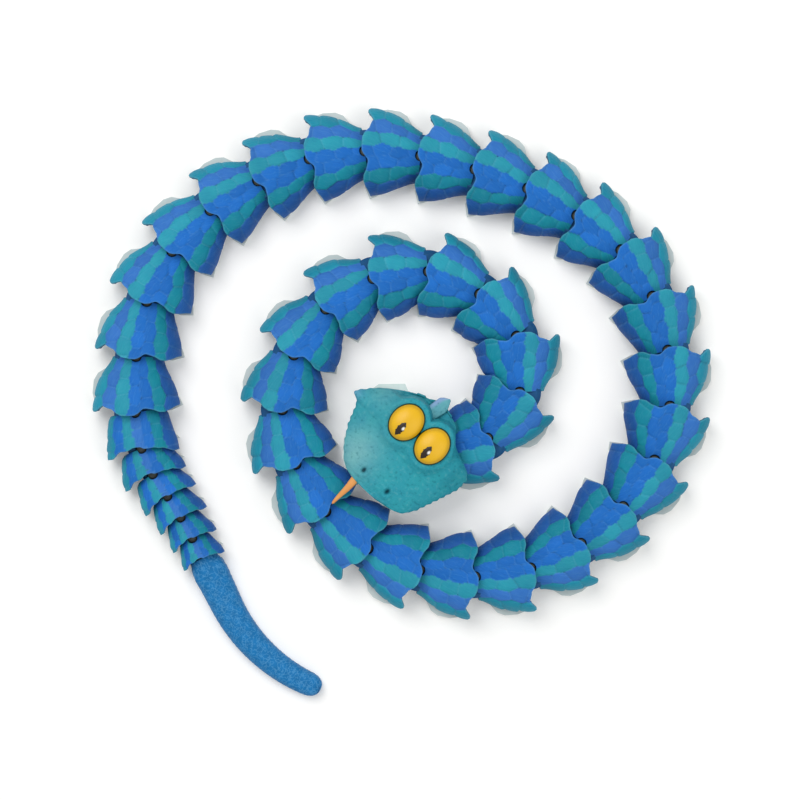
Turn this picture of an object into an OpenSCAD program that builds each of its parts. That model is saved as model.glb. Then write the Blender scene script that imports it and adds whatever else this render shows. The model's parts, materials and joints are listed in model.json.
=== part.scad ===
/* [Coil] */
// Place of the neck pin to the right of the middle of the coil
neck_x = 12.6; // [8:0.1:14]
// Place of the neck pin from the middle of the coil, toward the back
neck_y = -21.3; // [-26:0.1:-20]
// Heading of the first link, counter-clockwise from the right
first_heading = 17; // [14:1:20]
// Heading of the head, from its snout to its neck
head_heading = 47; // [45:1:49]

/* [Large links] */
// Distance from one pin to the next
link_pitch = 22.5; // [22:0.1:23]
// Half the width of a large link at its rear edge
rear_half = 17.2; // [16.8:0.1:17.6]
// Half the width of a large link at its front
front_half = 10; // [9.4:0.1:10.6]
// Radius of a large link's nose
large_nose_r = 8.8; // [8.4:0.1:9]
// Height of a large link at its rear edge
rear_height = 18; // [17.6:0.1:18.2]

/* [Small links] */
// Distance between the pins of the first small link
first_small_pitch = 14.6; // [14:0.1:16]
// Distance between the pins of the second small link
small_pitch = 11.2; // [10.8:0.1:12]
// Half the width of the first small link at its rear edge
small_rear_half = 14.2; // [13.8:0.1:14.6]
// Height of the first small link at its rear edge
small_rear_height = 15.9; // [15.5:0.1:16.3]
// Width of a small link as a share of the one before it
small_taper = 0.91; // [0.9:0.005:0.92]

/* [Shell] */
// Thickness of the roof over the next link
roof = 1.6; // [1.2:0.1:1.8]
// Thickness of the side walls
wall = 1.6; // [1.2:0.1:1.8]
// Thickness of the belly plate
plate = 3; // [2.4:0.1:3.2]
// How far the belly stands out past the shell on the outer side
belly_bulge = 1.4; // [1:0.1:2]
// Height of the belly's core, inside the shell
belly_height = 4.8; // [4.4:0.1:5.2]
// Height of the belly's lip, which passes under the shells of its neighbours
lip_height = 3.4; // [3:0.1:3.4]
// Depth of the notches between the lobes of the rear edge
lobe_depth = 2.6; // [1.5:0.1:3]
// How far the corners of a small link reach past its rear pin
small_lobe_reach = 2.8; // [2:0.1:3]

/* [Pins] */
// Diameter of a joint pin
pin_d = 2.4; // [2:0.1:2.6]
// Diameter of the wider head on a pin
pin_head_d = 4; // [3.8:0.1:4.2]
// Gap between a pin and its bore
pin_gap = 0.4; // [0.3:0.05:0.45]
// Gap above and below a nose, and round a pin's head
nose_gap = 0.6; // [0.4:0.1:0.7]

/* [Head] */
// Length of the head in front of the eyes
snout_length = 31.8; // [31:0.1:32.4]
// Half the width of the head at the jaw corners
head_half = 26.6; // [26:0.1:27]
// Height of the mouth over the table
mouth_height = 18.6; // [18.5:0.1:19.5]
// Height of the crown over the mouth
crown_height = 8.6; // [7:0.1:10]
// Height of the snout over the mouth
snout_height = 4.4; // [3.5:0.1:5]
// Length of an eye
eye_length = 16; // [15:0.1:16.4]
// Width of an eye
eye_width = 13.4; // [12:0.1:13.5]
// Height of an eye's dome over its seat
eye_dome = 4.6; // [3.5:0.1:5.5]
// Diameter of a nostril
nostril_d = 2; // [1.4:0.1:2.4]
// Length of the tongue outside the mouth
tongue_reach = 13.4; // [12:0.1:14]
// Width of the tongue at the mouth
tongue_width = 4.4; // [3.6:0.1:4.8]

/* [Tail tip] */
// Length of the straight part of the tail tip
tail_straight = 24; // [23:0.5:27]
// Length of the curved part of the tail tip
tail_curved = 50; // [46:0.5:52]
// How far the curved part turns
tail_turn = 42; // [36:1:44]
// Half the width of the tail tip near its joint
tail_half = 6.8; // [6.2:0.1:7]
// Half the width of the tail tip near its end
tail_end_half = 4.4; // [4:0.1:4.8]

/* [Hidden] */
// Turn at each pin along the body, in degrees, as the toy lies in the photograph
coil_bends = [38, 38, 38, 25, 31, 26, 22, 23, 26, 18, 17, 18, 16, 16, 17, 15, 15, 18, 18, 14, 18, 18,
              9, 9, 6, 9, 13, 15, 9, 15, 16, 16, 10];
small_bends = [10, 14, 10, -1, -3, -3];
// Numbers of large and of small links: the first large link has no bend before it in the lists
LARGE = len(coil_bends) + 1;
SMALL = len(small_bends);
tip_bend = 0;
small_pitch_share = 0.948;
small_height_share = 0.95;
// Free height between a roof and the link under it, as a share of the roof's height
roof_gap_share = 0.122;
// Front width of a small link, as a share of the space in the link before it; the first one's as half a width
small_front_share = 0.77;
first_small_front = 12;
// Radius of a small nose and of a small tab, as shares of the pitch before them
small_nose_share = 0.4;
small_tab_share = 0.27;
large_tab_r = 6;
// Space between a belly plate and the tab in front of it, on large and on small links
tab_gap = 1.4;
small_tab_gap = 0.8;
// Steps across half of a shell's arch, and the power that makes it fuller than an ellipse
arch_steps = 4;
arch_power = 0.8;
// Level at which the arch of a shell begins
arch_foot = 5;
nose_bottom = plate + 0.8;
// Top of a nose under the low front of its shell, and depth of the pocket round a pin's head
nose_drop = 1.2;
pocket_depth = 2.2;
nose_chamfer = 1.6;
// Length of a cut that goes right through
through = 60;
ROUND = 48;

bends = concat(coil_bends, small_bends);
COUNT = LARGE + SMALL;
headings = [for (i = 0, h = first_heading; i < COUNT; h = h + (i < COUNT - 1 ? bends[i] : 0), i = i + 1) h];
tip_heading = headings[COUNT - 1] + tip_bend;
function small_number(i) = i - LARGE;
function pitch(i) = i <= LARGE ? link_pitch
    : small_number(i) == 1 ? first_small_pitch
    : small_pitch * pow(small_pitch_share, small_number(i) - 2);
function rear(i) = i <= LARGE ? rear_half : small_rear_half * pow(small_taper, small_number(i) - 1);
function tall(i) = i <= LARGE ? rear_height : small_rear_height * pow(small_height_share, small_number(i) - 1);
function front(i) = i <= LARGE ? front_half : i == LARGE + 1 ? first_small_front
    : small_front_share * (rear(i - 1) - wall);
function low(i) = tall(max(i - 1, 1)) * (1 - roof_gap_share) - roof;
function nose_r(i) = i <= LARGE + 1 ? large_nose_r : small_nose_share * pitch(i - 1);
function nose_top(i) = low(i) - nose_drop;
function tab_r(i) = i <= LARGE ? large_tab_r : small_tab_share * pitch(i);
function belly_start(i) = tab_r(i - 1) + (i <= LARGE ? tab_gap : small_tab_gap);
function step(i) = pitch(i) * [cos(headings[i - 1]), sin(headings[i - 1])];
pins = [for (i = 0, p = [neck_x, neck_y]; i <= COUNT; i = i + 1, p = i <= COUNT ? p + step(i) : p) p];

function link_name(i) = i > LARGE ? str("tail_link_", small_number(i)) : str("link_", i < 10 ? "0" : "", i);

shell_colour = [0.18, 0.48, 0.72];
belly_colour = [0.88, 0.90, 0.88];
head_colour = [0.25, 0.62, 0.65];

// A closed solid through a list of rings that have the same number of points
module skin(rings) {
    n = len(rings[0]);
    last = len(rings) - 1;
    points = [for (r = rings) for (p = r) p];
    sides = [for (k = [0:last - 1]) for (j = [0:n - 1]) let (a = k * n + j, b = k * n + (j + 1) % n)
             for (f = [[a, a + n, b], [b, a + n, b + n]]) f];
    ends = [[for (j = [0:n - 1]) j], [for (j = [n - 1:-1:0]) last * n + j]];
    polyhedron(points, concat(sides, ends), convexity = 6);
}

function signed_power(v, p) = sign(v) * pow(abs(v), p);

// Arched section, as places across and up: half widths w and v of its two sides, top h, arch from level base,
// flat bottom at foot
function arch(w, v, h, base, foot) = concat(
    [[w, foot]],
    [for (k = [arch_steps:-1:-arch_steps]) let (a = 90 * k / arch_steps)
     [(k > 0 ? w : v) * signed_power(sin(a), arch_power),
      base + (h - base) * signed_power(cos(a), arch_power)]],
    [[-v, foot]]);

// A section stood up at a place, square to a heading
function stand(section, place, heading) =
    [for (q = section) [place[0] - q[0] * sin(heading), place[1] + q[0] * cos(heading), q[1]]];

// How far a link has widened from its front to its rear, at shares of its pitch: on the inner and on the outer
// side of a large link, and on a small link
inner_flare = [[0, 0], [0.1, 0.06], [0.25, 0.24], [0.42, 0.5], [0.62, 0.8], [0.85, 0.97], [1.1, 1]];
outer_flare = [[0, 0], [0.1, 0.14], [0.25, 0.42], [0.42, 0.68], [0.62, 0.88], [0.85, 1.04], [1.1, 1.06]];
small_flare = [[0, -0.6], [0.12, 0], [0.5, 0.4], [0.7, 0.66], [0.9, 0.92], [1.1, 1], [1.36, 1]];
function flare(i, side) = i > LARGE ? small_flare : side > 0 ? inner_flare : outer_flare;
function flank(i, t, side) = front(i) + (rear(i) - front(i)) * lookup(t, flare(i, side));
function ridge(i, t) = low(i) + (tall(i) - low(i)) * t;

// Solid under the outside of a link's shell
module outer_form(i) {
    skin([for (t = i > LARGE ? [0, 0.12, 0.5, 0.7, 0.9, 1.1, 1.36] : [0, 0.1, 0.25, 0.42, 0.62, 0.85, 1.1])
          stand(arch(flank(i, t, 1), flank(i, t, -1), ridge(i, min(t, 1)), arch_foot, nose_bottom),
                [t * pitch(i), 0], 0)]);
}

// Space under a link's roof, in which the next link's nose turns
module inner_form(i) {
    start = 1 - (nose_r(i + 1) + nose_gap) / pitch(i);
    near = i > LARGE ? front(i) + (rear(i) - front(i)) * 0.4 - wall : front(i) + (rear(i) - front(i)) * 0.7 - wall;
    skin([for (t = [start, 1, 1.5])
          let (w = near + (rear(i) - wall - near) * min((t - start) / (1 - start), 1))
          stand(arch(w, w, ridge(i, min(t, 1)) - roof, arch_foot, plate), [t * pitch(i), 0], 0)]);
}

// Lobed rear edge: place across the link from its outer to its inner side, and how far the edge is cut back
// there, as a share of the depth of the notches; below nothing it stands out past the pin
large_lobes = [[-1.1, 1], [-1, 0.5], [-0.93, 0.05], [-0.86, 0.35], [-0.74, 1], [-0.52, 0.5], [-0.42, -0.15],
               [-0.3, -0.45], [0, -0.4], [0.08, -0.1], [0.2, 0.65], [0.34, 0.7], [0.46, 0.55], [0.58, 0.25], [0.72, 0.25],
               [0.8, 0.6], [0.9, 1.15], [1.1, 1.75]];
// The same for a small link, as a share of the reach of its corners
small_lobes = [[-1.1, -1], [-0.84, -0.95], [-0.7, -0.35], [-0.6, -0.05], [-0.4, -0.1], [-0.2, 0.3], [0, 0.25],
               [0.1, -0.1], [0.4, -0.1], [0.5, -0.3], [0.66, -0.35], [0.74, -0.6], [0.88, -1], [1.1, -0.9]];
module rear_trim(i) {
    far = pitch(i) + 20;
    cut = i > LARGE ? small_lobe_reach * rear(i) / small_rear_half : lobe_depth;
    linear_extrude(through)
        polygon(concat(
            [for (p = i > LARGE ? small_lobes : large_lobes) [pitch(i) - p[1] * cut, p[0] * rear(i)]],
            [[far, 1.1 * rear(i)], [far, -1.1 * rear(i)]]));
}

// Belly plate: a core inside the shell on a wider lip. The lip widens behind the link before, and bulges on its
// outer side, which on large links starts farther forward.
module belly(i) {
    w = rear(i);
    bulge = belly_bulge * pitch(i) / link_pitch;
    x0 = belly_start(i);
    s = pitch(i) - x0;
    outer_front = i > LARGE
        ? [[x0 + 0.5 * s, -0.96 * w], [x0 + 0.22 * s, -0.86 * w], [x0 + 0.08 * s, -0.7 * w]]
        : [[x0 + 0.5 * s, -w - bulge], [x0 + 0.16 * s, -w - 0.7 * bulge], [x0 - 0.04 * s, -0.96 * w],
           [x0 - 0.2 * s, -0.74 * w]];
    linear_extrude(lip_height)
        polygon(concat([[x0, -0.4 * w], [x0, 0.4 * w], [x0 + 0.44 * s, 0.86 * w], [x0 + 0.62 * s, 0.98 * w],
                        [x0 + 0.78 * s, 1.05 * w], [pitch(i) - 1, 0.78 * w], [pitch(i) - 1, -0.5 * w],
                        [x0 + 0.76 * s, -w - (i > LARGE ? 0 : 0.3 * bulge)]], outer_front));
    x1 = pitch(i) - (i > LARGE ? 2.2 : 1);
    linear_extrude(belly_height)
        polygon([[x0, -0.4 * w], [x0, 0.4 * w], [x0 + 0.44 * s, 0.76 * w], [x0 + 0.62 * s, 0.93 * w],
                 [x1, 0.7 * w], [x1, -0.5 * w], [x0 + 0.66 * s, -0.93 * w],
                 [x0 + 0.44 * s, -0.78 * w]]);
}

// Round nose that turns under the roof in front
module nose(i) {
    translate([0, 0, nose_bottom])
        cylinder(h = nose_top(i) - nose_bottom - nose_chamfer, r = nose_r(i), $fn = ROUND);
    translate([0, 0, nose_top(i) - nose_chamfer])
        cylinder(h = nose_chamfer, r1 = nose_r(i), r2 = nose_r(i) - nose_chamfer, $fn = ROUND);
}

// Bore round the pin, with an open pocket round the pin's head
module pin_bore(i) {
    cylinder(h = through, d = pin_d + 2 * pin_gap, $fn = ROUND);
    translate([0, 0, nose_top(i) - pocket_depth])
        cylinder(h = through, d = pin_head_d + 2 * nose_gap, $fn = ROUND);
}

// Round tab with the pin for the nose of link i
module tab_with_pin(i) {
    cylinder(h = plate, r = tab_r(i - 1), $fn = ROUND);
    cylinder(h = nose_top(i) - 0.5, d = pin_d, $fn = ROUND);
    translate([0, 0, nose_top(i) - pocket_depth + nose_gap])
        cylinder(h = pocket_depth - nose_gap, d = pin_head_d, $fn = ROUND);
}

module link(i) {
    translate([pins[i - 1][0], pins[i - 1][1], 0])
        rotate(headings[i - 1]) {
            difference() {
                union() {
                    difference() {
                        outer_form(i);
                        rear_trim(i);
                    }
                    nose(i);
                    belly(i);
                }
                inner_form(i);
                pin_bore(i);
            }
            translate([pitch(i), 0, 0])
                tab_with_pin(i + 1);
        }
}

// Tail tip: distance from the last pin, half width and top height of each ring
tip_length = tail_straight + tail_curved;
tip_place = [for (k = 0, p = [0, 0], h = 0; k <= 20; k = k + 1,
                  h = k <= 8 ? 0 : tail_turn * (k - 8) / 12,
                  p = p + (k <= 8 ? tail_straight / 8 : tail_curved / 12) * [cos(h), sin(h)]) [p[0], p[1], h]];
function tip_at(k) = [tip_place[k][0], tip_place[k][1]];
function tip_half(k) = k == 20 ? 0.45 * tail_end_half : k == 19 ? 0.86 * tail_end_half
    : tail_half + (tail_end_half - tail_half) * k / 18;
tip_drop = 0.12;
module tail_tip() {
    i = COUNT + 1;
    top = low(i);
    translate([pins[COUNT][0], pins[COUNT][1], 0])
        rotate(tip_heading)
            difference() {
                union() {
                    nose(i);
                    skin([for (q = [[0, front(i)], [2.2, front(i) + 0.4], [3.6, 0.92 * tail_half],
                                    [8, tail_half]])
                          stand(arch(q[1], q[1], top, arch_foot, nose_bottom), [q[0], 0], 0)]);
                    skin([for (k = [1, 2, 5, 8, 11, 14, 17, 19, 20])
                          let (w = k == 1 ? 0.92 * tail_half : tip_half(k))
                          stand(arch(w, w, top - tip_drop * k - (k == 20 ? 1.5 : 0), 2.5, 0),
                                tip_at(k) + (k == 1 ? [0.2, 0] : [0, 0]), tip_place[k][2])]);
                }
                pin_bore(i);
            }
}

// Head: distance behind the middle of the eyes, half width, and height as a share of the crown
head_rings = [[-1, 0.35, 0], [-0.95, 0.52, 0.25], [-0.88, 0.64, 0.42], [-0.72, 0.78, 0.62], [-0.48, 0.9, 0.84],
              [-0.13, 1, 1], [0.02, 0.93, 0.98], [0.12, 0.74, 0.85], [0.27, 0.5, 0.5], [0.33, 0.3, 0.1]];
head_rim = 1.4;
neck_back = -3.2;
neck_side = -10.1;
// Direction in which the neck's space opens, from the head's axis
neck_opening = -25;
// Place of an eye beside the head's middle, as a share of the head's half width
eye_side_share = 0.26;
eye_side = eye_side_share * head_half;
eye_seat = mouth_height + crown_height + 0.8;
pupil_front = 3.4;
pupil_length = 6.4;
pupil_width = 2.8;
nostril_front = 25.7;
nostril_side = 6.3;
tongue_side = 6.4;
tongue_root = 24;
tongue_thickness = 1.8;
// Jaw: level of the lip's underside, and the outlines of the throat and of the lip above it
lip_bottom = 15;
throat_outline = [[-26.5, -8], [-26.5, 8], [-24.5, 13.5], [-19, 18], [-12, 20.5], [-4, 22], [3, 21], [8, 15],
                  [9, 6], [9, -24], [-4, -20.5], [-12, -19], [-19, -16], [-24, -12]];
lip_outline = [[-31.9, -8.6], [-31.9, 8.4], [-30.3, 13.6], [-28.6, 16.4], [-22.8, 20.8], [-15.2, 24.2],
               [-4, 26.8], [2.5, 25.4], [11, 16.5], [12, 6], [12, -24], [-4, -25.4], [-15, -23],
               [-22.4, -19.8], [-28, -15.4], [-29.8, -12.8]];

module in_head() {
    translate([neck_x, neck_y, 0])
        rotate(head_heading)
            translate([-neck_back, -neck_side, 0])
                children();
}

module eye_outline() {
    polygon([for (a = [0:15:345]) [cos(a) * eye_length / 2, sin(a) * eye_width / 2]]);
}

module tongue_outline() {
    polygon([[-tongue_root, tongue_side - tongue_width / 2], [-tongue_root, tongue_side + tongue_width / 2],
             [-snout_length - 2, tongue_side + tongue_width / 2],
             [-snout_length - 0.7 * tongue_reach, tongue_side + 0.32 * tongue_width],
             [-snout_length - tongue_reach, tongue_side],
             [-snout_length - 0.7 * tongue_reach, tongue_side - 0.32 * tongue_width],
             [-snout_length - 2, tongue_side - tongue_width / 2]]);
}

module head_shell() {
    in_head()
        difference() {
            union() {
                skin([for (r = head_rings)
                      stand(arch(r[1] * head_half, r[1] * head_half,
                                 mouth_height + snout_height + (crown_height - snout_height) * r[2],
                                 mouth_height + head_rim, mouth_height),
                            [r[0] * snout_length, 0], 0)]);
                for (s = [-1, 1])
                    translate([0, s * eye_side, mouth_height + 1])
                        linear_extrude(eye_seat - mouth_height - 1)
                            eye_outline();
            }
            for (s = [-1, 1])
                translate([-nostril_front, s * nostril_side, mouth_height + 3])
                    cylinder(h = through, d = nostril_d, $fn = 24);
            translate([0, 0, mouth_height - 1])
                linear_extrude(1 + tongue_thickness)
                    tongue_outline();
        }
}

module lower_jaw() {
    in_head() {
        difference() {
            union() {
                linear_extrude(mouth_height)
                    polygon(throat_outline);
                translate([0, 0, lip_bottom])
                    linear_extrude(mouth_height - lip_bottom)
                        polygon(lip_outline);
            }
            translate([neck_back, neck_side, 0])
                rotate(neck_opening) {
                    translate([-pitch(1), 0, 0])
                        inner_form(1);
                    translate([0, -through, -1])
                        cube([2 * through, 2 * through, through]);
                    translate([0, 0, plate])
                        cylinder(h = through, r = nose_r(1) + nose_gap, $fn = ROUND);
                }
        }
        translate([neck_back, neck_side, 0])
            tab_with_pin(1);
    }
}

module leaf(l, w) {
    r = (l * l / 4 + w * w / 4) / w;
    intersection() {
        translate([0, r - w / 2])
            circle(r = r, $fn = 64);
        translate([0, w / 2 - r])
            circle(r = r, $fn = 64);
    }
}

module eye(s) {
    in_head()
        difference() {
            translate([0, s * eye_side, eye_seat])
                skin([for (a = [0, 22, 44, 64, 80])
                      [for (b = [0:20:340])
                       [cos(a) * cos(b) * eye_length / 2, -cos(a) * sin(b) * eye_width / 2, sin(a) * eye_dome]]]);
            translate([-pupil_front, s * eye_side, eye_seat + 1])
                linear_extrude(through)
                    leaf(pupil_length, pupil_width);
        }
}

module pupil(s) {
    in_head()
        translate([-pupil_front, s * eye_side, eye_seat + 1])
            linear_extrude(eye_dome - 1)
                leaf(pupil_length, pupil_width);
}

module tongue() {
    in_head()
        translate([0, 0, mouth_height])
            linear_extrude(tongue_thickness)
                tongue_outline();
}

color(head_colour) head_shell();
color(belly_colour) lower_jaw();
color([0.95, 0.76, 0.18]) eye(-1);  // eye_left
color([0.95, 0.76, 0.18]) eye(1);  // eye_right
color([0.15, 0.10, 0.08]) pupil(-1);  // pupil_left
color([0.15, 0.10, 0.08]) pupil(1);  // pupil_right
color([0.90, 0.62, 0.33]) tongue();
for (i = [1:COUNT]) color(shell_colour) link(i);
color(shell_colour) tail_tip();
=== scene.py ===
"""Articulated snake toy, lying coiled: scaled skins over its links, a soft-looking head and a curved tail tip."""
import json
import math

import bpy
import numpy as np
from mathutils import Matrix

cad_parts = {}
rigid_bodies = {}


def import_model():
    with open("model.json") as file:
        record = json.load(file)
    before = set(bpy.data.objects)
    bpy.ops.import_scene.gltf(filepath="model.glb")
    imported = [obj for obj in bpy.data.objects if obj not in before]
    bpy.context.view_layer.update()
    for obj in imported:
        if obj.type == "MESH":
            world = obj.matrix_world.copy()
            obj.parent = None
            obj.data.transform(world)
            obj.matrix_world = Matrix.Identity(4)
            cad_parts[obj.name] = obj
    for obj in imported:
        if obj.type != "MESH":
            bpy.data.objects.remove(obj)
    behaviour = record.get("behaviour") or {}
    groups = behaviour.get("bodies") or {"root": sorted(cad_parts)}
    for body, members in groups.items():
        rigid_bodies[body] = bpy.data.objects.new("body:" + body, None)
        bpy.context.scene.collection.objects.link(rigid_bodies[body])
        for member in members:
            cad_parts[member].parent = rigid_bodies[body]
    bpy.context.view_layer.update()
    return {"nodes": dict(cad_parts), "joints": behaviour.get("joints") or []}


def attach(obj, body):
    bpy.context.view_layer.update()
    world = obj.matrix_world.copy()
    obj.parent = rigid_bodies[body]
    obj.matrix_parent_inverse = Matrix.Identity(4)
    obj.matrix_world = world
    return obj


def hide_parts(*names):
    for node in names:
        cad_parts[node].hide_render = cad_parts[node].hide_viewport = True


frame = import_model()
MM = 0.001

# Places of the hinges in millimetres, which give where each link lies and which way it points
HINGE_BEFORE = {j["child"]: np.array(j["pos_m"][:2]) / MM for j in frame["joints"]}
HINGE_AFTER = {j["parent"]: np.array(j["pos_m"][:2]) / MM for j in frame["joints"]}
LARGE_COUNT = 34
SMALL_COUNT = 6
LINKS = ["link_%02d" % i for i in range(1, LARGE_COUNT + 1)] + ["tail_link_%d" % k for k in range(1, SMALL_COUNT + 1)]
LINKS_AND_TAIL = LINKS + ["tail_tip"]

# Sizes of the links in millimetres, as their solids have them
REAR_HALF = 17.2
FRONT_HALF = 10.0
REAR_HEIGHT = 18.0
SMALL_REAR_HALF = 14.2
SMALL_REAR_HEIGHT = 15.9
SMALL_TAPER = 0.91
SMALL_HEIGHT_SHARE = 0.95
FIRST_SMALL_FRONT = 12.0
SMALL_FRONT_SHARE = 0.77
ROOF = 1.6
WALL = 1.6
ROOF_GAP_SHARE = 0.122
ARCH_FOOT = 5.0
ARCH_POWER = 0.8
SKIRT_BOTTOM = 3.9
# How a link widens from its front (0) to its rear (1), by the share of its pitch
FLARE_T = [0, 0.1, 0.25, 0.42, 0.62, 0.85, 1.1]
INNER_FLARE = [0, 0.06, 0.24, 0.5, 0.8, 0.97, 1]
OUTER_FLARE = [0, 0.14, 0.42, 0.68, 0.88, 1.04, 1.06]
SMALL_T = [0, 0.12, 0.5, 0.7, 0.9, 1.1, 1.36]
SMALL_FLARE = [-0.6, 0, 0.4, 0.66, 0.92, 1, 1]
# Rear edge of a large link: places across it from its outer side (-1) to its inner side (1), and how far it is
# cut back there; where that is below 0, it stands out past the hinge
EDGE_PLACE = [-1, -0.93, -0.86, -0.74, -0.66, -0.58, -0.52, -0.42, -0.3, -0.1, 0,
              0.08, 0.2, 0.26, 0.35, 0.45, 0.52, 0.58, 0.7, 0.8, 0.9, 1]
EDGE_CUT = [1.2, 0.0, 0.8, 2.6, 1.9, 1.4, 1.2, -0.4, -1.3, -1.3, -1.1,
            -0.3, 1.6, 1.8, 1.6, 1.4, 0.9, 0.5, 0.6, 1.5, 2.8, 3.7]
EDGE_EASE = 0.012
# The same for a small link, as shares of the reach of its corners
SMALL_PLACE = [-1, -0.84, -0.7, -0.6, -0.4, -0.2, 0, 0.1, 0.4, 0.5, 0.66, 0.74, 0.88, 1]
SMALL_CUT = [-0.9, -0.95, -0.35, -0.05, -0.1, 0.3, 0.25, -0.1, -0.1, -0.3, -0.35, -0.6, -1, -0.9]
SMALL_EASE = 0.03
SMALL_REACH = 2.8

# Skin of a link: points across and along it, the hole in it round the knob, how far behind the hinges it begins
# and ends, how far it stands off the solid, and the lip at its rear edge, which turns down and then forward
LARGE_GRID = (121, 57)
SMALL_GRID = (61, 31)
KNOB_HOLE_R = 2.2
SKIN_BEGIN = 0.2
SKIN_END = 0.25
SKIN_LIFT = 0.10
LIP_DOWN = 0.9
LIP_FORWARD = 1.6
FOOT_FOLD = [1, 0.95, 1]
# Scales lie in lengthwise columns, which end at these places across a link, and in rows along each column
COLUMN_ENDS = np.array([-1.0, -0.77, -0.47, -0.12, 0.12, 0.38, 0.76, 1.0])
ROWS_OF_SCALES = range(-1, 6)
SCALE_LENGTH = 7.4
FIRST_ROW = 0.35
ALONG_JITTER = 0.34
ACROSS_JITTER = 0.09
SCALE_STRETCH = 0.6
# Form and tones of a scale: height of its cushion and width of its seam in millimetres, and shares of its colour
CUSHION = 0.30
CUSHION_SLOPE = 0.05
CUSHION_REACH = 4
CUSHION_LIFT = 0.15
SEAM_WIDTH = 0.5
SCALE_TILT = 0.07
TONE_SPREAD = 0.20
LINK_TONE_SPREAD = 0.06
SEAM_PALENESS = 0.09
RIM_PALENESS = 0.20
PIT_DARKNESS = 0.5
# Knob on a pin: radius, and height over the pin's top
KNOB = np.array([[2.0, -0.6], [2.08, 0.1], [1.9, 0.35], [1.4, 0.6], [0.5, 0.75], [0.1, 0.78]])
KNOB_AROUND = 32
PIN_TOP_DROP = 1.2
UV_LENGTH = 50  # millimetres of a piece to one unit of its UV map


def linear(r, g, b):
    """A colour seen as 0 to 255 on screen, as linear light."""
    c = np.array([r, g, b]) / 255
    return np.where(c < 0.04045, c / 12.92, ((c + 0.055) / 1.055) ** 2.4)


SPIKE_TEAL = linear(30, 140, 164)
BLUE = linear(28, 106, 192)
VIOLET_BLUE = linear(52, 112, 190)
CENTRE_TEAL = linear(40, 150, 170)
DEEP_TEAL = linear(16, 130, 148)
# Blue stripe of the steep inner side wall, drawn darker than BLUE as painted shade of that wall
SHADED_SIDE_BLUE = linear(30, 84, 156)
SEAM_PALE = linear(140, 205, 225)
PATCH_BLUE = linear(20, 96, 150)
RIDGE_PALE = linear(120, 195, 220)
RIDGE_DARK = linear(16, 60, 120)
BELLY_GREY = linear(206, 214, 213)
BELLY_SHADE = linear(182, 194, 192)
BODY_BLUE = linear(24, 84, 132)
BODY_DARK = linear(18, 66, 112)
JAW_PALE = linear(216, 228, 225)
JAW_SHADE = linear(186, 208, 206)
HEAD_TEAL = linear(46, 154, 166)
HEAD_PALE = linear(128, 184, 184)
HEAD_DEEP = linear(12, 124, 138)
SPIKE_PALE = linear(120, 176, 205)
FOAM_DARK = linear(14, 92, 104)
FOAM_PALE = linear(150, 210, 205)
FLAP_TEAL = linear(98, 168, 176)
FLAP_BLUE = linear(138, 166, 204)
TAIL_BLUE = linear(27, 114, 174)
WORM_PALE = linear(110, 176, 220)
EYE_YELLOW = linear(236, 184, 24)
EYE_RIM = linear(28, 48, 14)
PUPIL_DARK = linear(44, 34, 28)
GLINT_WHITE = linear(245, 245, 240)
TONGUE_ORANGE = linear(226, 160, 92)
TONGUE_SHADE = linear(205, 128, 60)
PIN_GREY = linear(86, 92, 86)
PIN_SHADE = linear(52, 50, 46)
LARGE_COLOURS = np.array([SPIKE_TEAL, VIOLET_BLUE, CENTRE_TEAL, BLUE, BLUE, DEEP_TEAL, SHADED_SIDE_BLUE])
SMALL_COLOURS = np.array([SPIKE_TEAL, BLUE, CENTRE_TEAL, VIOLET_BLUE, BLUE, DEEP_TEAL, SHADED_SIDE_BLUE])


def new_object(name, points, faces):
    """A smooth-shaded mesh object from points in millimetres, in any grid, and faces as lists of their numbers."""
    mesh = bpy.data.meshes.new(name)
    mesh.from_pydata((np.asarray(points).reshape(-1, 3) * MM).tolist(), [], faces)
    mesh.polygons.foreach_set("use_smooth", np.full(len(mesh.polygons), True))
    mesh.update()
    piece = bpy.data.objects.new(name, mesh)
    bpy.context.scene.collection.objects.link(piece)
    return piece


def thicken(piece, thickness):
    """Gives an open skin a wall of so many millimetres, inward of its points."""
    wall = piece.modifiers.new("wall", "SOLIDIFY")
    wall.thickness = thickness * MM
    wall.offset = -1


def paint(piece, colours, flat):
    """Writes one colour and one flat place in millimetres per point into the colour attribute and the UV map."""
    mesh = piece.data
    colours = colours.reshape(-1, 3)
    colour = mesh.color_attributes.new("paint", "FLOAT_COLOR", "POINT")
    rgba = np.concatenate([colours, np.ones((len(colours), 1))], 1)
    colour.data.foreach_set("color", rgba.ravel().astype(np.float32))
    layer = mesh.uv_layers.new(name="skin")
    corner = np.empty(len(mesh.loops), np.int32)
    mesh.loops.foreach_get("vertex_index", corner)
    uv = flat.reshape(-1, 2) / UV_LENGTH
    layer.data.foreach_set("uv", uv[corner].ravel().astype(np.float32))


def grid_faces(grid, around=False):
    """Four-sided faces between the rows and columns of a grid of points, closed round the columns if asked."""
    rows, columns = grid.shape[:2]
    i = np.arange(rows - 1)[:, None]
    j = np.arange(columns if around else columns - 1)[None, :]
    k = (j + 1) % columns
    faces = np.stack([i * columns + j, i * columns + k, (i + 1) * columns + k, (i + 1) * columns + j], -1)
    return faces.reshape(-1, 4)


def top_faces(grid):
    """Faces of a grid whose rows run along a piece and whose columns run across it, turned to face upward."""
    return grid_faces(grid)[:, ::-1].tolist()


def ring_faces(grid):
    """Faces of a grid whose rows are rings, with a many-sided face on the first and on the last ring."""
    rows, around = grid.shape[:2]
    ends = [list(range(around))[::-1], list(range((rows - 1) * around, rows * around))]
    return grid_faces(grid, True).tolist() + ends


def normals_of(grid):
    """Unit normals of a grid of points: the cross product of its two slopes."""
    along = np.gradient(grid, axis=0)
    across = np.gradient(grid, axis=1)
    n = np.cross(along, across)
    return n / np.maximum(np.linalg.norm(n, axis=-1, keepdims=True), 1e-9)


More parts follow.
